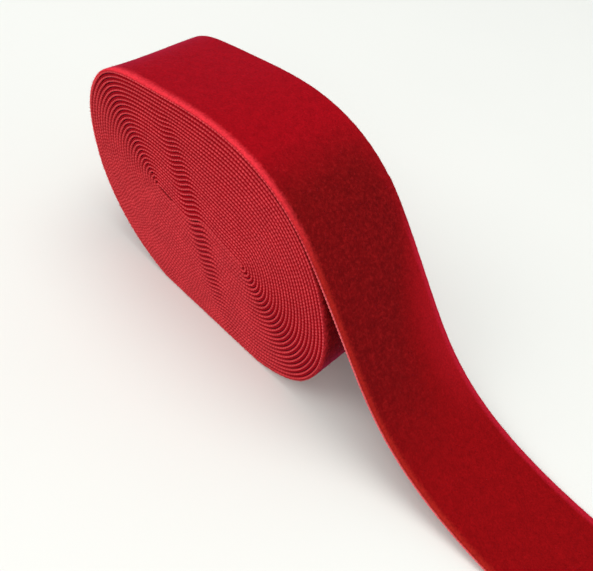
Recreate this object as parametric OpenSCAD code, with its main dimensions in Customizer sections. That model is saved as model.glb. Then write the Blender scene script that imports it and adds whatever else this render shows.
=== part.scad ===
// A length of velvet gift ribbon, rolled up on itself without a spool.
// The roll stands on its edge as a leaning oval, and the free end comes off its top, runs down in a
// long slope and lies on the table. X runs along the free end, Y across the ribbon, Z up. The origin
// is on the table, under the middle of the flat foot that the roll rests on.
// The ribbon has three layers: a woven back, a velvet pile on its outer face, and a plain woven
// selvedge along each edge. Its length is divided where it bends or slips on itself.

/* [Ribbon] */
// Width of the ribbon, from edge to edge
ribbon_w = 25; // [16:1:38]
// Width of the plain woven selvedge along each edge
selvedge_w = 0.8; // [0.4:0.1:2]
// Top of the woven back, as a share of one lap's pitch
back_top = 0.40; // [0.3:0.02:0.46]
// Top of the selvedge, as a share of one lap's pitch
selvedge_top = 0.60; // [0.5:0.02:0.8]
// Top of the velvet pile, as a share of one lap's pitch: the rest is the gap to the next lap
pile_top = 0.92; // [0.85:0.01:0.94]

/* [Roll] */
// Number of whole laps in the roll
laps = 26; // [25:1:27]
// Distance from one lap to the next, averaged around the roll
lap_pitch = 0.8824; // [0.8624:0.01:0.9024]
// Lap at which the outer turns hand over to the middle turns
middle_from_lap = 9; // [7:1:11]
// Lap at which the middle turns hand over to the core turns
core_from_lap = 18; // [15:1:21]
// Height of the wave that the slack inner laps are pushed into
wave_height = 1.35; // [0:0.05:1.5]
// Distance along a lap from the middle of that wave to its crest
wave_length = 3; // [2.8:0.1:6]

/* [Free end] */
// Distance from the origin to the cut end, along the table
cut_end_x = 99; // [90:1:140]

/* [Hidden] */

pile_red = "#9a0e15";
back_red = "#a81c26";
selvedge_red = "#c43643";

// Laps are counted inwards from the place where the free end leaves the roll. A place in the roll is
// a lap number, whose fraction is the angle turned, and a share of the pitch above that lap's back.
steps = 48;                     // flats around one lap
crowding = 15;                  // degrees by which the flats crowd towards the top and bottom
leave_angle = 52.5;             // angle at which the free end leaves the roll
inner_end_lap = laps + 0.15;    // the ribbon's inner end lies flat between the innermost laps
pitches = laps + 1;             // pitches from the middle of the roll to its outside
roll_r = pitches * lap_pitch;

// Each lap goes round a line instead of a point, which makes the roll oval. The inner laps go round
// a nearly level line, the outer ones round a line that slopes down towards the free end.
inner_mid = [-6.1, 0.926 * roll_r];
inner_half = [11.9, -1.45];
inner_spread = 34;              // degrees either side of upright over which the line is walked
outer_mid = [-7.17, 0.954 * roll_r];
outer_half = [10.34, -4.98];
outer_spread = 64;

// Laps press closer on some sides than on others: shares of the pitch, by harmonic of the angle
swell_cos = [0.0585, 0.0268, -0.0125, 0.0097];
swell_sin = [-0.052, 0.0359, -0.0085, -0.0439];

wave_centre = [-7.9, 23];
wave_lean = 0.6;                // sideways shift of the wave for each unit of height
wave_reach = 0.86;              // share of the roll's radius at which the wave has died out
foot_fade = 3;                  // how fast the flat of the foot fades in the laps above it

slip_gap = 0.001;               // gap between groups of turns, in laps
bend_gap = 0.15;                // gap at each bend of the free end
boundary_lap = (90 - leave_angle) / 360;  // groups of turns meet at the top of the roll

// The free end's lower face: two curves, with round numbers for the points that shape them
leave_handle = 6;               // length of the first curve's handle at the roll
bend_before = [30.6, 23];
bend_point = [36.55, 17.1];
bend_after = bend_point + 1.42 * (bend_point - bend_before);
landing_before = [56.7, 0];
landing_point = [85.2, 0];
landing_bend = 0.75;            // where on the second curve the ribbon meets the table
curve_steps = 14;

function smooth(t) = let (u = max(0, min(1, t))) u * u * (3 - 2 * u);

function wrap(angle) = angle - 360 * floor(angle / 360);

// +1 at the end of the core line nearest the free end, -1 at its other end
function slide(angle, spread) = let (a = wrap(angle))
    a < 180 ? 1 - 2 * smooth((a - 90 + spread) / (2 * spread))
            : -1 + 2 * smooth((a - 270 + spread) / (2 * spread));

function core_point(angle, depth) =
    let (inner = inner_mid + inner_half * slide(angle, inner_spread),
         outer = outer_mid + outer_half * slide(angle, outer_spread))
    inner + (outer - inner) * depth;

function harmonic(angle, k) = swell_cos[k - 1] * cos(k * angle) + swell_sin[k - 1] * sin(k * angle);
function pitch_at(angle) = lap_pitch * (1 + harmonic(angle, 1) + harmonic(angle, 2)
    + harmonic(angle, 3) + harmonic(angle, 4));

// How far the outermost lap would reach below the table at this angle
function foot_cut(angle, outside) =
    sin(angle) > -0.3 ? 0
    : max(0, outside * pitch_at(angle) + core_point(angle, outside / pitches)[1] / sin(angle));

function wave(p, depth) =
    let (fade = max(0, 1 - pow(depth / wave_reach, 2)),
         x = p[0] - wave_centre[0] + wave_lean * (p[1] - wave_centre[1]),
         q = x / wave_length)
    [0, wave_height * fade * 2 * q / (1 + q * q)];

function roll_point(lap, share) =
    let (angle = leave_angle + 360 * lap,
         out = pitches - 1 - lap + share,
         outside = pitches - 1 - (lap - floor(lap)) + pile_top,
         r = out * pitch_at(angle) - foot_cut(angle, outside) * pow(out / outside, foot_fade),
         p = core_point(angle, out / pitches) + r * [cos(angle), sin(angle)])
    p + wave(p, out / pitches);

// Every lap has its corners at the same angles, so laps nest and never cut into each other
function station(k) = boundary_lap + k / steps - crowding / 360 * sin(720 * k / steps);
function stations(from_lap, to_lap) = concat(
    [from_lap],
    [for (k = [-steps : pitches * steps])
        let (lap = station(k)) if (lap > from_lap + 0.0001 && lap < to_lap - 0.0001) lap],
    [to_lap]);

function reversed(list) = [for (i = [len(list) - 1 : -1 : 0]) list[i]];

function roll_outline(span, band) = let (at = stations(span[0], span[1])) concat(
    [for (lap = at) roll_point(lap, band[1])],
    [for (lap = reversed(at)) roll_point(lap, band[0])]);

function unit(p) = p / norm(p);
function curve(p, t) = let (s = 1 - t)
    s * s * s * p[0] + 3 * s * s * t * p[1] + 3 * s * t * t * p[2] + t * t * t * p[3];
function curve_slope(p, t) = let (s = 1 - t)
    unit(s * s * (p[1] - p[0]) + 2 * s * t * (p[2] - p[1]) + t * t * (p[3] - p[2]));

leave_point = roll_point(0, 0);
leave_direction = unit(leave_point - roll_point(0.01, 0));
shoulder_curve = [leave_point, leave_point + leave_handle * leave_direction, bend_before, bend_point];
slope_curve = [bend_point, bend_after, landing_before, landing_point];
tail_pitch = pitch_at(leave_angle);

function on_curve(p, t, share) = let (d = curve_slope(p, t))
    curve(p, t) + share * tail_pitch * [-d[1], d[0]];

// A stretch of the free end between two places on a curve, with each end trimmed back along the ribbon
function curve_rail(p, from, to, trim_from, trim_to, share) = [for (i = [0 : curve_steps])
    let (t = from + (to - from) * i / curve_steps,
         trim = i == 0 ? trim_from : i == curve_steps ? -trim_to : 0)
    on_curve(p, t, share) + trim * curve_slope(p, t)];

function shoulder_rail(share) = curve_rail(shoulder_curve, 0, 1, bend_gap, bend_gap / 2, share);
function slope_rail(share) = curve_rail(slope_curve, 0, landing_bend, bend_gap / 2, bend_gap / 2, share);
function end_rail(share) = concat(
    curve_rail(slope_curve, landing_bend, 1, bend_gap / 2, 0, share),
    [[cut_end_x, share * tail_pitch]]);

outer_span = [0, middle_from_lap + boundary_lap];
middle_span = [middle_from_lap + boundary_lap + slip_gap, core_from_lap + boundary_lap];
core_span = [core_from_lap + boundary_lap + slip_gap, inner_end_lap];

back_band = [0, back_top];
pile_band = [back_top, pile_top];
selvedge_band = [0, selvedge_top];

near_edge = [-ribbon_w / 2, -ribbon_w / 2 + selvedge_w];
far_edge = [ribbon_w / 2 - selvedge_w, ribbon_w / 2];
between_edges = [near_edge[1], far_edge[0]];

// An outline in the XZ plane, carried across the ribbon from y[0] to y[1]
module across(y, outline) {
    translate([0, y[1], 0])
        rotate([90, 0, 0])
            linear_extrude(height = y[1] - y[0])
                polygon(outline);
}

module outer_turns_backing() { color(back_red) across(between_edges, roll_outline(outer_span, back_band)); }
module outer_turns_pile() { color(pile_red) across(between_edges, roll_outline(outer_span, pile_band)); }
module outer_turns_near_selvedge() {
    color(selvedge_red) across(near_edge, roll_outline(outer_span, selvedge_band));
}
module outer_turns_far_selvedge() {
    color(selvedge_red) across(far_edge, roll_outline(outer_span, selvedge_band));
}

module middle_turns_backing() { color(back_red) across(between_edges, roll_outline(middle_span, back_band)); }
module middle_turns_pile() { color(pile_red) across(between_edges, roll_outline(middle_span, pile_band)); }
module middle_turns_near_selvedge() {
    color(selvedge_red) across(near_edge, roll_outline(middle_span, selvedge_band));
}
module middle_turns_far_selvedge() {
    color(selvedge_red) across(far_edge, roll_outline(middle_span, selvedge_band));
}

module core_turns_backing() { color(back_red) across(between_edges, roll_outline(core_span, back_band)); }
module core_turns_pile() { color(pile_red) across(between_edges, roll_outline(core_span, pile_band)); }
module core_turns_near_selvedge() {
    color(selvedge_red) across(near_edge, roll_outline(core_span, selvedge_band));
}
module core_turns_far_selvedge() {
    color(selvedge_red) across(far_edge, roll_outline(core_span, selvedge_band));
}

// A stretch of the free end: its lower face out, its upper face back
function tail_outline(low, high) = concat(low, reversed(high));
function shoulder_outline(band) = tail_outline(shoulder_rail(band[0]), shoulder_rail(band[1]));
function slope_outline(band) = tail_outline(slope_rail(band[0]), slope_rail(band[1]));
function end_outline(band) = tail_outline(end_rail(band[0]), end_rail(band[1]));

module tail_shoulder_backing() { color(back_red) across(between_edges, shoulder_outline(back_band)); }
module tail_shoulder_pile() { color(pile_red) across(between_edges, shoulder_outline(pile_band)); }
module tail_shoulder_near_selvedge() { color(selvedge_red) across(near_edge, shoulder_outline(selvedge_band)); }
module tail_shoulder_far_selvedge() { color(selvedge_red) across(far_edge, shoulder_outline(selvedge_band)); }

module tail_slope_backing() { color(back_red) across(between_edges, slope_outline(back_band)); }
module tail_slope_pile() { color(pile_red) across(between_edges, slope_outline(pile_band)); }
module tail_slope_near_selvedge() { color(selvedge_red) across(near_edge, slope_outline(selvedge_band)); }
module tail_slope_far_selvedge() { color(selvedge_red) across(far_edge, slope_outline(selvedge_band)); }

module tail_end_backing() { color(back_red) across(between_edges, end_outline(back_band)); }
module tail_end_pile() { color(pile_red) across(between_edges, end_outline(pile_band)); }
module tail_end_near_selvedge() { color(selvedge_red) across(near_edge, end_outline(selvedge_band)); }
module tail_end_far_selvedge() { color(selvedge_red) across(far_edge, end_outline(selvedge_band)); }

outer_turns_backing();
outer_turns_pile();
outer_turns_near_selvedge();
outer_turns_far_selvedge();
middle_turns_backing();
middle_turns_pile();
middle_turns_near_selvedge();
middle_turns_far_selvedge();
core_turns_backing();
core_turns_pile();
core_turns_near_selvedge();
core_turns_far_selvedge();
tail_shoulder_backing();
tail_shoulder_pile();
tail_shoulder_near_selvedge();
tail_shoulder_far_selvedge();
tail_slope_backing();
tail_slope_pile();
tail_slope_near_selvedge();
tail_slope_far_selvedge();
tail_end_backing();
tail_end_pile();
tail_end_near_selvedge();
tail_end_far_selvedge();
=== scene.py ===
"""Looks of the velvet ribbon roll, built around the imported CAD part.

The ribbon is one continuous strip. It is swept along the same spiral and free end as the CAD, in four
layers: a ribbed woven back, a velvet pile, and two selvedges with a bead for every turn of the weft.

A place on the ribbon has three numbers. Along it, u counts laps inwards from where the free end leaves
the roll, and is negative on the free end; s is the distance from the cut end instead. Across it, y is
the distance from its middle. Through it, a share of the pitch runs from 0 at the lap's own back to 1 at
the back of the next lap out. Lengths are in millimetres until a mesh is made.
"""
import math
import bpy
import numpy as np
from mathutils import Matrix, Vector


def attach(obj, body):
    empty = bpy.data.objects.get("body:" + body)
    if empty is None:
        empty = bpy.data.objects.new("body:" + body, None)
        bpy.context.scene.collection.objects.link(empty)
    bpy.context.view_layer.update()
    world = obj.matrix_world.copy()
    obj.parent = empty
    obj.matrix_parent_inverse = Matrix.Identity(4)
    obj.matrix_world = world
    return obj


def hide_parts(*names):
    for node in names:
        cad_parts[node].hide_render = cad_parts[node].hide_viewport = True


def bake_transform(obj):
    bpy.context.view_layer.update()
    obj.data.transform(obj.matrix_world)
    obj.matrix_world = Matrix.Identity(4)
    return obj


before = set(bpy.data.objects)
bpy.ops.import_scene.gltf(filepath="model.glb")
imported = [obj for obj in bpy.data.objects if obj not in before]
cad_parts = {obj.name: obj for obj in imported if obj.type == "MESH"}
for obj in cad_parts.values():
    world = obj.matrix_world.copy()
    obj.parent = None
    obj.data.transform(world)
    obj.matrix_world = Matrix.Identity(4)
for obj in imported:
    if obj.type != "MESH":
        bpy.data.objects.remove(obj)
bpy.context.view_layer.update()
MM = 0.001

# ---- The ribbon's path: the same formulas and values as the CAD ----
RIBBON_W = 25.0
BACK_TOP, PILE_TOP = 0.40, 0.92
LAPS, LAP_PITCH = 26, 0.8824
LEAVE_ANGLE = 52.5
INNER_END = LAPS + 0.15
PITCHES = LAPS + 1
ROLL_R = PITCHES * LAP_PITCH
INNER_MID, INNER_HALF = np.array([-6.1, 0.926 * ROLL_R]), np.array([11.9, -1.45])
OUTER_MID, OUTER_HALF = np.array([-7.17, 0.954 * ROLL_R]), np.array([10.34, -4.98])
INNER_SPREAD, OUTER_SPREAD = 34, 64
SWELL_COS = (0.0585, 0.0268, -0.0125, 0.0097)
SWELL_SIN = (-0.052, 0.0359, -0.0085, -0.0439)
WAVE_HEIGHT, WAVE_LENGTH, WAVE_LEAN, WAVE_REACH = 1.35, 3.0, 0.6, 0.86
WAVE_CENTRE = (-7.9, 23.0)
FOOT_SINE = -0.3                  # the roll can touch the table where its angle's sine is below this
FOOT_FADE = 3
LEAVE_HANDLE = 6.0
BEND_BEFORE, BEND_POINT = np.array([30.6, 23.0]), np.array([36.55, 17.1])
BEND_AFTER = BEND_POINT + 1.42 * (BEND_POINT - BEND_BEFORE)
LANDING_BEFORE, LANDING_POINT = (56.7, 0.0), (85.2, 0.0)
LANDING_BEND = 0.75
CUT_END_X = 99.0
BOUNDARY_LAP = (90 - LEAVE_ANGLE) / 360   # groups of turns meet at the top of the roll

# Places on the free end, as u: its bend half way down, its bend at the table, and its cut
SLOPE_BEND, TABLE_BEND, CUT_END = -1, -1 - LANDING_BEND, -3


def smooth(t):
    t = np.clip(t, 0, 1)
    return t * t * (3 - 2 * t)


def rise(x, start, over):
    """From 0 at start to 1 at start + over."""
    return smooth((x - start) / over)


def slide(angle, spread):
    """+1 at the end of the core line nearest the free end, -1 at its other end."""
    a = np.mod(angle, 360)
    going = 1 - 2 * smooth((a - 90 + spread) / (2 * spread))
    coming = -1 + 2 * smooth((a - 270 + spread) / (2 * spread))
    return np.where(a < 180, going, coming)


def core_point(angle, depth):
    """The point that the ribbon goes round: on a nearly level line inside, on a sloping one outside."""
    inner = INNER_MID + INNER_HALF * slide(angle, INNER_SPREAD)[..., None]
    outer = OUTER_MID + OUTER_HALF * slide(angle, OUTER_SPREAD)[..., None]
    return inner + (outer - inner) * depth[..., None]


def pitch_at(angle):
    """Distance between laps, which press closer on some sides than on others."""
    a = np.radians(angle)
    swell = 0 * a
    for k, (c, s) in enumerate(zip(SWELL_COS, SWELL_SIN), start=1):
        swell = swell + c * np.cos(k * a) + s * np.sin(k * a)
    return LAP_PITCH * (1 + swell)


def roll_point(lap, share):
    """A place in the roll, which is pressed flat where it stands and has a wave through its inner laps."""
    angle = LEAVE_ANGLE + 360 * lap
    a = np.radians(angle)
    out = PITCHES - 1 - lap + share
    outside = PITCHES - 1 - np.mod(lap, 1) + PILE_TOP
    downward = np.minimum(np.sin(a), -0.01)       # kept off 0, where the foot isn't
    below = outside * pitch_at(angle) + core_point(angle, outside / PITCHES)[..., 1] / downward
    cut = np.where(np.sin(a) > FOOT_SINE, 0, np.maximum(0, below))
    r = out * pitch_at(angle) - cut * (out / outside) ** FOOT_FADE
    p = core_point(angle, out / PITCHES) + r[..., None] * np.stack([np.cos(a), np.sin(a)], -1)
    fade = np.maximum(0, 1 - (out / PITCHES / WAVE_REACH) ** 2)
    x = p[..., 0] - WAVE_CENTRE[0] + WAVE_LEAN * (p[..., 1] - WAVE_CENTRE[1])
    q = x / WAVE_LENGTH
    p[..., 1] += WAVE_HEIGHT * fade * 2 * q / (1 + q * q)
    return p


def unit(p):
    return p / np.linalg.norm(p, axis=-1, keepdims=True)


def curve(p, t):
    t = t[..., None]
    s = 1 - t
    return s**3 * p[0] + 3 * s * s * t * p[1] + 3 * s * t * t * p[2] + t**3 * p[3]


def curve_slope(p, t):
    t = t[..., None]
    s = 1 - t
    return unit(s * s * (p[1] - p[0]) + 2 * s * t * (p[2] - p[1]) + t * t * (p[3] - p[2]))


# The free end's two curves, each given by four points
ZERO, ONE = np.zeros(1), np.ones(1)
LEAVE_POINT = roll_point(ZERO, ZERO)[0]
LEAVE_DIRECTION = unit(LEAVE_POINT - roll_point(0.01 * ONE, ZERO)[0])
LEAVE_HANDLE_END = LEAVE_POINT + LEAVE_HANDLE * LEAVE_DIRECTION
SHOULDER = np.array([LEAVE_POINT, LEAVE_HANDLE_END, BEND_BEFORE, BEND_POINT])
SLOPE = np.array([BEND_POINT, BEND_AFTER, LANDING_BEFORE, LANDING_POINT])
TAIL_PITCH = float(pitch_at(LEAVE_ANGLE * ONE)[0])
LEAVE_RAY = np.array([math.cos(math.radians(LEAVE_ANGLE)), math.sin(math.radians(LEAVE_ANGLE))])


def tail_point(u, share):
    """A place on the free end: u runs along the shoulder to -1, the slope to -2 and the flat end to -3.

    The ribbon's thickness points out of the roll at first, and is square to the curve from a third of
    the shoulder on.
    """
    shoulder_t, slope_t, flat_t = (np.clip(start - u, 0, 1) for start in (0, -1, -2))
    on_shoulder = (u > SLOPE_BEND)[..., None]
    d = np.where(on_shoulder, curve_slope(SHOULDER, shoulder_t), curve_slope(SLOPE, slope_t))
    p = np.where(on_shoulder, curve(SHOULDER, shoulder_t), curve(SLOPE, slope_t))
    p[..., 0] += flat_t * (CUT_END_X - LANDING_POINT[0])
    up = np.stack([-d[..., 1], d[..., 0]], -1)
    up = unit(LEAVE_RAY + (up - LEAVE_RAY) * smooth(shoulder_t * 3)[..., None])
    return p + (share * TAIL_PITCH)[..., None] * up


def ribbon_point(u, share):
    """The X and Z of a place anywhere along the ribbon."""
    u, share = np.broadcast_arrays(np.asarray(u, float), np.asarray(share, float))
    roll = roll_point(np.maximum(u, 0), share)
    return np.where((u >= 0)[..., None], roll, tail_point(np.minimum(u, 0), share))


# Distance along the ribbon from its cut end, at each u
TAIL_STEPS, ROLL_STEPS = 3000, 60000
TAIL_U = np.linspace(CUT_END, 0, TAIL_STEPS, endpoint=False)
GRID_U = np.concatenate([TAIL_U, np.linspace(0, INNER_END, ROLL_STEPS)])
CHORDS = np.diff(ribbon_point(GRID_U, BACK_TOP), axis=0)
GRID_S = np.concatenate([[0], np.cumsum(np.linalg.norm(CHORDS, axis=1))])


def length_to(u):
    return float(np.interp(u, GRID_U, GRID_S))


STANDOFF = 1.2                    # how far the outermost lap stands off, in pitches


def standoff(u, y):
    """The outermost lap stands off the roll at its far edge, on the side away from the free end."""
    far_corner = rise(u, 0.20, 0.10) * (1 - rise(u, 0.34, 0.18))
    return STANDOFF * far_corner * rise(y, -8, 22)


def place(s, y, share):
    """The X and Z of a place on the ribbon as it lies, with its outermost lap standing off."""
    u = np.interp(s, GRID_S, GRID_U)
    return ribbon_point(u, share + standoff(u, y))


# ---- Meshes ----
def add_mesh(name, points_mm, faces, material, smooth_faces=True):
    """faces is a list of index arrays, each with one row for each face."""
    mesh = bpy.data.meshes.new(name)
    loops = np.concatenate([f.ravel() for f in faces])
    sizes = np.concatenate([np.full(len(f), f.shape[1]) for f in faces])
    mesh.vertices.add(len(points_mm))
    mesh.vertices.foreach_set("co", (points_mm * MM).astype(np.float32).ravel())
    mesh.loops.add(len(loops))
    mesh.loops.foreach_set("vertex_index", loops.astype(np.int32))
    mesh.polygons.add(len(sizes))
    mesh.polygons.foreach_set("loop_start", np.concatenate([[0], np.cumsum(sizes)[:-1]]).astype(np.int32))
    mesh.polygons.foreach_set("use_smooth", np.full(len(sizes), smooth_faces))
    mesh.update(calc_edges=True)
    mesh.validate()
    mesh.materials.append(material)
    piece = bpy.data.objects.new(name, mesh)
    bpy.context.scene.collection.objects.link(piece)
    return piece


def sweep(name, s, y, share, material):
    """A closed tube along the ribbon: y and share hold one row for each station in s.

    The rings at its two ends are sharp edges, so stretches that meet show no seam.
    """
    rings, around = y.shape
    xz = place(s[:, None], y, share)
    points = np.stack([xz[..., 0], y, xz[..., 1]], -1).reshape(-1, 3)
    i = np.arange(rings - 1)[:, None] * around
    j = np.arange(around)[None, :]
    k = (j + 1) % around
    quads = np.stack([i + j, i + k, i + around + k, i + around + j], -1).reshape(-1, 4)
    first = np.arange(around)[::-1][None, :]
    last = (rings - 1) * around + np.arange(around)[None, :]
    piece = add_mesh(name, points, [quads, first, last], material)
    ends = np.empty(2 * len(piece.data.edges), dtype=np.int32)
    piece.data.edges.foreach_get("vertices", ends)
    ring = ends.reshape(-1, 2) // around
    sharp = (ring[:, 0] == ring[:, 1]) & ((ring[:, 0] == 0) | (ring[:, 0] == rings - 1))
    piece.data.edges.foreach_set("use_edge_sharp", sharp)
    return piece


def mark(piece, name, values):
    """Store one number for each vertex, for the material to read."""
    stored = piece.data.attributes.new(name, "FLOAT", "POINT")
    stored.data.foreach_set("value", values.astype(np.float32).ravel())


def stations(s0, s1, spacing):
    """Even steps along the ribbon, about as far apart as spacing."""
    return np.linspace(s0, s1, max(2, int(round((s1 - s0) / spacing)) + 1))


RIPPLES = 14


def ripple(s, y, seed, shortest, longest):
    """A gentle unevenness over the ribbon, mostly from -1 to 1, of waves that run every way."""
    rng = np.random.default_rng(seed)
    total = np.zeros(np.broadcast(s, y).shape)
    for _ in range(RIPPLES):
        wave = rng.uniform(shortest, longest)
        turn = rng.uniform(0, math.pi)
        phase = rng.uniform(0, 2 * math.pi)
        total += np.sin(2 * math.pi * (s * math.cos(turn) + y * math.sin(turn)) / wave + phase)
    return total / RIPPLES * 2


# ---- The ribbon's layers ----
WEFT = 0.71                       # one turn of the weft, along the ribbon
WEFT_STEP = WEFT / 6              # steps along the ribbon that show each turn of the weft
PILE_STEP = 0.3                   # steps that show the pile's unevenness
HIDDEN_STEP = 0.8                 # steps where laps hide a layer
SELVEDGE_IN = RIBBON_W / 2 - 0.8  # where the selvedge begins, from the middle
RIB = 0.07                        # height of the back's ribs, in pitches
UNDERSIDE = 0.045                 # middle of those ribs, in pitches
INTO_PILE = 0.03                  # how far the back reaches up into the pile, in pitches
OVERLAP = 0.05                    # how far it reaches sideways into the selvedges
BEAD_MIDDLE = 0.22                # middle of the selvedge's thickness, in pitches


def weft_turns(s):
    """1 in the middle of each turn of the weft and 0 between two, a little unevenly spaced."""
    uneven = 1.2 * np.sin(2 * np.pi * s / 23 + 1) + 0.8 * np.sin(2 * np.pi * s / 9.7)
    return 0.5 - 0.5 * np.cos(2 * np.pi * s / WEFT + uneven)


def add_backing(name, s0, s1, fine, material):
    """The woven ground: a rib for each weft where it shows, plain where laps hide it."""
    s = stations(s0, s1, WEFT_STEP if fine else HIDDEN_STEP)
    half = np.linspace(SELVEDGE_IN + OVERLAP, -SELVEDGE_IN - OVERLAP, 14)
    y = np.concatenate([half, half[::-1]])[None, :] + 0 * s[:, None]
    rib = RIB / 2 - RIB * weft_turns(s)[:, None] if fine else 0 * s[:, None]
    top = np.full((len(s), len(half)), BACK_TOP + INTO_PILE)
    under = UNDERSIDE + rib + 0 * half[None, :]
    return sweep(name, s, y, np.concatenate([top, under], axis=1), material)


# ---- Where along the ribbon, and across it, the nap's colour changes: painted shade, sheen and highlights, and its tone on the roll ----
FREE_LENGTH = length_to(0)


def hanging(s):
    """1 along the free end, 0 on the roll."""
    return smooth((FREE_LENGTH - 2 - s) / 16)


def brighter_on_roll(s):
    """1 on the roll, 0 along the free end: the nap's colour is brighter on the roll, and the painted
    highlight on its rim is bright on the roll and dim along the free end.
    """
    return rise(s - FREE_LENGTH, -12, 26)


def top_of_slope(s):
    """1 on the roll and just below it, 0 further down the free end."""
    return rise(s - FREE_LENGTH, -30, 25)


def painted_shade(s, y):
    """Painted shade: darker where the ribbon turns down the free end's slope, but not at its far edge, and
    on the outermost lap where it faces the free end across the gap.
    """
    u = np.interp(s, GRID_S, GRID_U)
    free_end = rise(s - FREE_LENGTH, -62, 40) * (1 - rise(s - FREE_LENGTH, 0, 18))
    roll_end = rise(u, 0.70, 0.12) * (1 - rise(u, 1.0, 0.1))
    return free_end * (1 - smooth((y + 4 - 10 * top_of_slope(s)) / 13)) + roll_end


def painted_sheen(s, y):
    """Painted sheen: a brighter band down the far edge of the free end's slope."""
    along = rise(s - FREE_LENGTH, -56, 22) * (1 - rise(s - FREE_LENGTH, 0, 18))
    return along * smooth((y - 2.5 - 5.5 * top_of_slope(s)) / 9)


def around_the_end(u):
    """From 0 to 1 and back where the outermost lap goes round the roll's end away from the free end."""
    return rise(u, 0.02, 0.22) * (1 - rise(u, 0.30, 0.22))


def packed(u):
    """Top of the nap in the middle of a covered lap, in pitches.

    It presses into the back above it, so no light passes through the roll, but the first lap of each
    group of turns stays clear of the back above it, which belongs to another group.
    """
    laps_in = u
    for group_start in (TO_MIDDLE[0], TO_CORE[0]):
        laps_in = np.where(u > group_start, u - group_start, laps_in)
    return 1.0 + 0.06 * rise(laps_in, 1 + 2 * CROSSING + 0.02, 0.1)


def add_pile(name, s0, s1, fine, material):
    """The velvet: a low pad that leans out over the near selvedge, with an uneven top where it shows."""
    s = stations(s0, s1, PILE_STEP if fine else HIDDEN_STEP)
    u = np.interp(s, GRID_S, GRID_U)
    # The rounded edge of the pad: how far in from its reach, and how high, from its foot to its top
    in_by = np.array([0.90, 0.30, 0.10, 0.02, 0.0, 0.04, 0.14, 0.32, 0.62, 1.0])
    high = np.array([0.40, 0.42, 0.44, 0.50, 0.60, 0.71, 0.80, 0.87, 0.91, 0.92])
    covered = rise(u, 0.90, 0.12)[:, None]      # between laps the pile leans out less
    near_reach = -(RIBBON_W / 2 - 0.12 - 0.06 * covered)
    far_reach = RIBBON_W / 2 - 0.30
    inside = np.linspace(far_reach - 1.4, 1.4 - far_reach, 44 if fine else 6)
    rows = 0 * covered
    y = np.concatenate([far_reach - in_by + rows, inside + rows, near_reach + in_by[::-1]], axis=1)
    h = np.concatenate([high, np.full(len(inside), PILE_TOP), high[::-1]])[None, :] + 0 * y
    edge = 0 * y
    if fine:
        # Painted highlight along the pile's near rim: wider where the outermost lap goes round the roll's
        # far end, dimmer where it turns to face down and away, also along the far rim of the free end, and
        # only on the outermost lap.
        bright = 1 - smooth((y - near_reach - 0.1) / (1.5 + around_the_end(u)[:, None]))
        bright *= 1 - 0.65 * rise(u, 0.38, 0.2)[:, None]
        bright = bright + hanging(s)[:, None] * smooth((y - far_reach + 2.0) / 1.2)
        edge = bright * (1 - covered)
        on_top = rise(h, 0.6, 0.3)
        h = h - on_top * 0.03 * (1 - ripple(s[:, None], y, 3, 2.5, 9)) / 2
        on_side = rise(h, 0.42, 0.08) * (1 - rise(h, 0.8, 0.12))
        y = y - on_side * np.sign(y) * 0.07 * (1 - ripple(s[:, None], y, 8, 0.7, 2.5)) / 2
    else:
        h = np.where(np.abs(y) < 8, packed(u)[:, None], h)
    piece = sweep(name, s, y, h, material)
    # Masks for the material: the painted highlight on the pile's rim, its side, the nap's tone on the
    # roll, painted shade and painted sheen.
    mark(piece, "edge", edge)
    mark(piece, "far_side", smooth(y / 6))
    mark(piece, "brighter_on_roll", brighter_on_roll(s)[:, None] + 0 * y)
    mark(piece, "painted_shade", painted_shade(s[:, None], y))
    mark(piece, "painted_sheen", painted_sheen(s[:, None], y))
    return piece


def add_selvedge(name, s0, s1, side, material):
    """The plain woven edge, with a rounded bead where each turn of the weft goes back."""
    s = stations(s0, s1, WEFT_STEP)
    bead = weft_turns(s)[:, None]
    # Its rounded section: how far out from SELVEDGE_IN, and how high, from its lower face to its upper
    out = np.array([0.0, 0.45, 0.70, 0.80, 0.72, 0.45, 0.0])[None, :]
    high = np.array([0.03, 0.0, 0.05, 0.19, 0.37, 0.43, 0.41])[None, :]
    edge = rise(out, 0.3, 0.4)
    y = SELVEDGE_IN + out - 0.08 * edge * (1 - bead)
    h = BEAD_MIDDLE + (high - BEAD_MIDDLE) * (1 - 0.25 * (1 - bead))
    if side > 0:
        y, h = y[:, ::-1], h[:, ::-1]
    piece = sweep(name, s, side * y, h, material)
    mark(piece, "bead", bead + 0 * out)
    mark(piece, "hanging", hanging(s)[:, None] + 0 * y)
    return piece


FIBRES_ON_TOP = 1.6               # stray fibres on each square millimetre of the nap
FIBRES_ON_EDGE = 14               # and on each millimetre of its two edges together
FIBRE_RADIUS = 0.022


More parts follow.
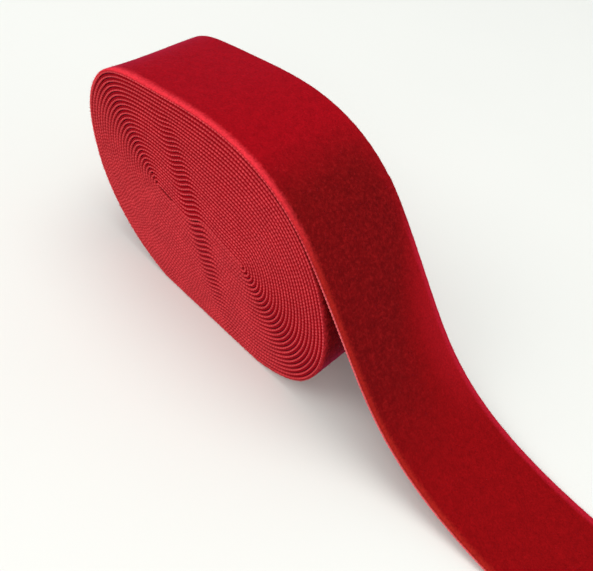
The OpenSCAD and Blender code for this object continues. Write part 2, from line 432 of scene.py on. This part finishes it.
def add_fuzz(name, s0, s1, seed, material):
    """Stray fibres over the nap and along its two edges, most of them on the near one."""
    rng = np.random.default_rng(seed)
    length = s1 - s0
    on_top, on_edge = int(FIBRES_ON_TOP * length * RIBBON_W), int(FIBRES_ON_EDGE * length)
    side = rng.choice([-1.0, 1.0], on_edge, p=[0.75, 0.25])
    reach = RIBBON_W / 2 - 0.21 - 0.09 * np.concatenate([np.ones(on_top), side])
    height = rng.uniform(0.5, 0.9, on_edge)
    s = rng.uniform(s0 + 0.3, s1 - 0.3, on_top + on_edge)
    y = np.concatenate([rng.uniform(-1, 1, on_top), side]) * reach
    y[:on_top] *= 0.96
    y[on_top:] -= side * 0.9 * np.maximum(0, height - 0.6)      # the pile's edge is rounded
    h = np.concatenate([np.full(on_top, 0.88), height - 0.03])
    outward = np.concatenate([rng.normal(0, 0.12, on_top), side * rng.uniform(0.10, 0.34, on_edge)])
    lift = np.concatenate([rng.uniform(0.16, 0.34, on_top), rng.uniform(-0.02, 0.30, on_edge)])
    slant = rng.normal(0.05, 0.12, on_top + on_edge)
    turn = rng.uniform(0, 2 * math.pi, on_top + on_edge)
    corners = []                                # each fibre is a thin spike: a triangle and a tip
    for k in range(3):
        a = turn + k * 2 * math.pi / 3
        sk, yk = s + FIBRE_RADIUS * np.cos(a), y + FIBRE_RADIUS * np.sin(a)
        xz = place(sk, yk, h)
        corners.append(np.stack([xz[:, 0], yk, xz[:, 1]], -1))
    xz = place(s + slant, y + outward, h + lift)
    xz[:, 1] = np.maximum(xz[:, 1], 0.02)       # no tip goes into the table
    corners.append(np.stack([xz[:, 0], y + outward, xz[:, 1]], -1))
    points = np.stack(corners, 1).reshape(-1, 3)
    first = 4 * np.arange(on_top + on_edge)[:, None, None]
    faces = first + np.array([[0, 2, 1], [0, 1, 3], [1, 2, 3], [2, 0, 3]])[None]
    piece = add_mesh(name, points, [faces.reshape(-1, 3)], material)
    # Fibres on the near edge take the painted highlight of the pile's rim; all take the nap's painted
    # shade and painted sheen.
    mark(piece, "edge", np.repeat(np.concatenate([np.zeros(on_top), side < 0]), 4))
    mark(piece, "far_side", np.repeat(smooth(y / 6), 4))
    mark(piece, "brighter_on_roll", np.repeat(brighter_on_roll(s), 4))
    mark(piece, "painted_shade", np.repeat(painted_shade(s, y), 4))
    mark(piece, "painted_sheen", np.repeat(painted_sheen(s, y), 4))
    return piece


# ---- Materials ----
def new_material(name):
    material = bpy.data.materials.new(name)
    material.use_nodes = True
    nodes, links = material.node_tree.nodes, material.node_tree.links
    shader = nodes["Principled BSDF"]
    where = nodes.new("ShaderNodeTexCoord").outputs["Object"]
    return material, nodes, links, shader, where


def noise(nodes, links, where, scale, detail, roughness=0.5):
    n = nodes.new("ShaderNodeTexNoise")
    n.inputs["Scale"].default_value = scale
    n.inputs["Detail"].default_value = detail
    n.inputs["Roughness"].default_value = roughness
    links.new(where, n.inputs["Vector"])
    return n.outputs["Fac"]


def ramp(nodes, links, value, stops):
    """Two colours, each with its position."""
    r = nodes.new("ShaderNodeValToRGB")
    for element, (position, colour) in zip(r.color_ramp.elements, stops):
        element.position = position
        element.color = (*colour, 1)
    links.new(value, r.inputs["Fac"])
    return r.outputs["Color"]


def mix(nodes, links, a, b, factor, how="MIX"):
    """Mix two colours. Each input is a socket, or a plain colour or number."""
    m = nodes.new("ShaderNodeMix")
    m.data_type, m.blend_type = "RGBA", how
    for name, kind, value in (("A", "RGBA", a), ("B", "RGBA", b), ("Factor", "VALUE", factor)):
        target = next(i for i in m.inputs if i.name == name and i.type == kind)
        if isinstance(value, bpy.types.NodeSocket):
            links.new(value, target)
        else:
            target.default_value = value if kind == "VALUE" else (*value, 1)
    return next(o for o in m.outputs if o.type == "RGBA")


def bump(nodes, links, height, strength, distance, under=None):
    b = nodes.new("ShaderNodeBump")
    b.inputs["Strength"].default_value = strength
    b.inputs["Distance"].default_value = distance
    links.new(height, b.inputs["Height"])
    if under is not None:
        links.new(under, b.inputs["Normal"])
    return b.outputs["Normal"]


def attribute(nodes, name):
    a = nodes.new("ShaderNodeAttribute")
    a.attribute_name = name
    return a.outputs["Fac"]


BLACK_TO_WHITE = ((0, 0, 0), (1, 1, 1))


def velvet():
    """Cut pile, brighter on the roll, with painted shade where the ribbon turns down and in the gap by the
    free end, painted sheen down the far edge of the slope, and a painted highlight on its rim.
    """
    material, nodes, links, shader, where = new_material("velvet_pile")
    nap = noise(nodes, links, where, 700, 3, 0.6)
    tufts = noise(nodes, links, where, 2600, 3, 0.7)
    rough = noise(nodes, links, where, 1500, 3, 0.6)
    loose = ramp(nodes, links, nap, [(0.3, (0.235, 0.0026, 0.0040)), (0.7, (0.285, 0.0032, 0.0050))])
    flat = ramp(nodes, links, nap, [(0.3, (0.30, 0.0022, 0.0062)), (0.7, (0.36, 0.0028, 0.0078))])
    top = mix(nodes, links, loose, flat, attribute(nodes, "brighter_on_roll"))
    # Painted shade where the ribbon turns down and in the gap by the free end: the nap darkens towards
    # this colour in ragged patches.
    shaded_nap = ramp(nodes, links, nap, [(0.3, (0.155, 0.0028, 0.0036)), (0.7, (0.215, 0.0038, 0.0048))])
    patchy = mix(nodes, links, attribute(nodes, "painted_shade"), rough, 0.30)
    patches = ramp(nodes, links, patchy, zip((0.22, 0.78), BLACK_TO_WHITE))
    top = mix(nodes, links, top, shaded_nap, patches)
    # Painted sheen: a brighter band down the far edge of the free end's slope.
    top = mix(nodes, links, top, (0.36, 0.0056, 0.0105), attribute(nodes, "painted_sheen"))
    flecks = ramp(nodes, links, rough, [(0.46, (0.92, 0.92, 0.92)), (0.68, (1.30, 1.8, 1.55))])
    top = mix(nodes, links, top, flecks, attribute(nodes, "painted_shade"), "MULTIPLY")
    # Painted highlight on the pile's rim, pinker towards the far side, and much brighter on the roll than
    # along the free end.
    rim = mix(nodes, links, (0.38, 0.015, 0.011), (0.46, 0.010, 0.026), attribute(nodes, "far_side"))
    rim = mix(nodes, links, rim, (0.80, 0.034, 0.050), attribute(nodes, "brighter_on_roll"))
    uneven = mix(nodes, links, rough, tufts, 0.5)
    uneven = mix(nodes, links, attribute(nodes, "edge"), uneven, 0.5)
    ragged = ramp(nodes, links, uneven, zip((0.30, 0.74), BLACK_TO_WHITE))
    grain = ramp(nodes, links, tufts, [(0.3, (0.76, 0.76, 0.76)), (0.7, (1.14, 1.14, 1.14))])
    colour = mix(nodes, links, top, rim, ragged)
    links.new(mix(nodes, links, colour, grain, 1.0, "MULTIPLY"), shader.inputs["Base Color"])
    normal = bump(nodes, links, tufts, 0.5, 0.00012)
    links.new(bump(nodes, links, nap, 0.2, 0.0003, normal), shader.inputs["Normal"])
    shader.inputs["Roughness"].default_value = 0.95
    shader.inputs["Specular IOR Level"].default_value = 0.03
    shader.inputs["Sheen Weight"].default_value = 0.30
    shader.inputs["Sheen Roughness"].default_value = 0.30
    shader.inputs["Sheen Tint"].default_value = (1.0, 0.08, 0.32, 1)
    return material


def woven(name, dark, light, gloss, beads):
    """Fine yarns, with colour and relief at the yarn's own scale; with beads, painted shade between them
    and a painted highlight on their tops, and a paler painted highlight along the free end.
    """
    material, nodes, links, shader, where = new_material(name)
    yarn = noise(nodes, links, where, 3200, 2, 0.6)
    patch = noise(nodes, links, where, 240, 3, 0.5)
    colour = ramp(nodes, links, yarn, [(0.3, dark), (0.7, light)])
    wear = ramp(nodes, links, patch, [(0.3, (0.90, 0.90, 0.90)), (0.7, (1.06, 1.06, 1.06))])
    colour = mix(nodes, links, colour, wear, 1.0, "MULTIPLY")
    if beads:
        # Painted shade between the beads and a painted highlight on their tops.
        between, on_bead = (0.80, 0.56, 0.58), (1.14, 1.48, 1.34)
        shade = ramp(nodes, links, attribute(nodes, "bead"), [(0.0, between), (0.9, on_bead)])
        colour = mix(nodes, links, colour, shade, 1.0, "MULTIPLY")
        # Painted highlight: along the free end the selvedge is paler pink.
        painted_highlight = mix(nodes, links, colour, (0.92, 0.19, 0.20), 0.5)
        colour = mix(nodes, links, colour, painted_highlight, attribute(nodes, "hanging"))
    links.new(colour, shader.inputs["Base Color"])
    links.new(bump(nodes, links, yarn, 0.5, 0.00006), shader.inputs["Normal"])
    shader.inputs["Roughness"].default_value = 0.62
    shader.inputs["Specular IOR Level"].default_value = gloss
    return material


def pale_table():
    material, nodes, links, shader, where = new_material("pale_table")
    cloudy = noise(nodes, links, where, 9, 3)
    colour = ramp(nodes, links, cloudy, [(0.3, (0.825, 0.82, 0.79)), (0.7, (0.845, 0.84, 0.81))])
    links.new(colour, shader.inputs["Base Color"])
    shader.inputs["Roughness"].default_value = 0.55
    return material


VELVET = velvet()
BACK = woven("woven_back", (0.22, 0.004, 0.009), (0.36, 0.010, 0.018), 0.15, False)
SELVEDGE = woven("selvedge", (0.52, 0.018, 0.029), (0.75, 0.046, 0.062), 0.22, True)

# ---- The stretches of ribbon, from the cut end inwards ----
CROSSING = 0.13                   # half of a stretch that crosses between groups of turns, in laps
OUTER_TO_MIDDLE, MIDDLE_TO_CORE = 9 + BOUNDARY_LAP, 18 + BOUNDARY_LAP
TO_MIDDLE = (OUTER_TO_MIDDLE - CROSSING, OUTER_TO_MIDDLE + CROSSING)
TO_CORE = (MIDDLE_TO_CORE - CROSSING, MIDDLE_TO_CORE + CROSSING)
ROLL_START = 0.06                 # just past the bend where the free end peels off
MID_SHOULDER, MID_SLOPE = SLOPE_BEND / 2, (SLOPE_BEND + TABLE_BEND) / 2
LAP_COVERED = 1.05                # the ribbon is hidden by its own outermost lap from here on

# Name, first u, last u, and the body it rides on, or the two bodies that meet across it
STRETCHES = [
    ("tail_end", CUT_END, MID_SLOPE, ("tail_slope", "tail_end")),
    ("tail_slope", MID_SLOPE, MID_SHOULDER, ("tail_shoulder", "tail_slope")),
    ("tail_shoulder", MID_SHOULDER, ROLL_START, ("outer_turns", "tail_shoulder")),
    ("outer_turns", ROLL_START, TO_MIDDLE[0], ("outer_turns",)),
    ("outer_crossing", *TO_MIDDLE, ("outer_turns", "middle_turns")),
    ("middle_turns", TO_MIDDLE[1], TO_CORE[0], ("middle_turns",)),
    ("core_crossing", *TO_CORE, ("middle_turns", "core_turns")),
    ("core_turns", TO_CORE[1], INNER_END, ("core_turns",)),
]
FREE_END = ("tail_end", "tail_slope", "tail_shoulder")

# Each hinge's u, and how far from it towards the roll and towards the cut bend_line puts the two ends
# of a stretch's turn. The span is short where the ribbon peels off.
BENDS = {
    "tail_shoulder": (0, 1.5, 2.0),
    "tail_slope": (SLOPE_BEND, 3.0, 3.0),
    "tail_end": (TABLE_BEND, 3.0, 3.0),
}


def as_point(xz):
    return Vector((xz[0] * MM, 0, xz[1] * MM))


def bend_line(stretch, u0, u1):
    """Where a stretch that crosses a joint starts and ends its turn."""
    if stretch in BENDS:
        hinge_u, roll_side, cut_side = BENDS[stretch]
        at = ribbon_point(hinge_u - 1e-4, PILE_TOP)
        towards_cut = unit(ribbon_point(hinge_u - 0.02, PILE_TOP) - at)
        return as_point(at - roll_side * towards_cut), as_point(at + cut_side * towards_cut)
    return as_point(ribbon_point(u0 + 0.03, BACK_TOP)), as_point(ribbon_point(u1 - 0.03, BACK_TOP))


for name, u0, u1, bodies in STRETCHES:
    s0, s1 = length_to(u0), length_to(u1)
    seen = name in FREE_END
    outermost = name == "outer_turns"
    shown_to = length_to(LAP_COVERED) if outermost else s1
    backing = add_backing("ribbon_" + name + "_backing", s0, s1, seen, BACK)
    selvedges = [add_selvedge("ribbon_" + name + "_near_selvedge", s0, s1, -1, SELVEDGE),
                 add_selvedge("ribbon_" + name + "_far_selvedge", s0, s1, 1, SELVEDGE)]
    piles = [add_pile("ribbon_" + name + "_pile", s0, shown_to, seen or outermost, VELVET)]
    if outermost:
        piles.append(add_pile("ribbon_inner_laps_pile", shown_to, s1, False, VELVET))
    if seen or outermost:
        piles.append(add_fuzz("ribbon_" + name + "_stray_fibres", s0, shown_to, len(name), VELVET))
    for piece in [backing, *selvedges, *piles]:
        if len(bodies) == 2:
            start, end = bend_line(name, u0, u1)
            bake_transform(piece)
        else:
            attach(piece, bodies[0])
    if "crossing" not in name:
        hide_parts(name + "_backing")
        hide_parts(name + "_near_selvedge")
        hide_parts(name + "_far_selvedge")
        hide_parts(name + "_pile")

# ---- Table, camera and light ----
CAMERA_AT = Vector((59.74, -77.26, 109.31)) * MM
AZIMUTH, ELEVATION, ROLL = (math.radians(a) for a in (32.301, 46.896, 15.596))
LENS_MM, SENSOR_MM = 39.955, 36.0


def camera():
    level = math.cos(ELEVATION)
    back = Vector((math.sin(AZIMUTH) * level, -math.cos(AZIMUTH) * level, math.sin(ELEVATION)))
    right = (-back).cross(Vector((0, 0, 1))).normalized()
    up = right.cross(-back)
    turned_right = math.cos(ROLL) * right + math.sin(ROLL) * up
    turned_up = -math.sin(ROLL) * right + math.cos(ROLL) * up
    data = bpy.data.cameras.new("camera")
    data.lens, data.sensor_width, data.clip_start = LENS_MM, SENSOR_MM, 0.005
    holder = bpy.data.objects.new("camera", data)
    holder.matrix_world = Matrix((turned_right, turned_up, back)).transposed().to_4x4()
    holder.location = CAMERA_AT
    bpy.context.scene.collection.objects.link(holder)
    bpy.context.scene.camera = holder


def area_light(name, at, aim, size, watts, colour):
    data = bpy.data.lights.new(name, "AREA")
    data.shape, data.size, data.energy, data.color = "DISK", size, watts, colour
    holder = bpy.data.objects.new(name, data)
    holder.location = at
    holder.rotation_euler = (Vector(aim) - Vector(at)).to_track_quat("-Z", "Y").to_euler()
    bpy.context.scene.collection.objects.link(holder)


def table():
    half = 2500
    corners = np.array([(-half, -half, 0), (half, -half, 0), (half, half, 0), (-half, half, 0)])
    floor = add_mesh("table_top", corners, [np.array([[0, 1, 2, 3]])], pale_table(), smooth_faces=False)


def surroundings():
    world = bpy.data.worlds.new("studio")
    world.use_nodes = True
    background = world.node_tree.nodes["Background"]
    background.inputs["Color"].default_value = (0.91, 0.98, 1.0, 1)
    background.inputs["Strength"].default_value = 0.60
    bpy.context.scene.world = world
    bpy.context.scene.view_settings.view_transform = "Standard"


camera()
table()
surroundings()
area_light("overhead", (0.00, 0.15, 1.20), (0.02, 0.0, 0.02), 1.0, 5.8, (1.0, 0.96, 0.915))
area_light("front_left", (-0.75, -0.90, 0.95), (0.0, 0.0, 0.02), 0.9, 5.5, (1.0, 0.98, 0.95))
area_light("front_right", (0.75, -0.90, 0.95), (0.0, 0.0, 0.02), 0.9, 5.5, (1.0, 0.98, 0.95))
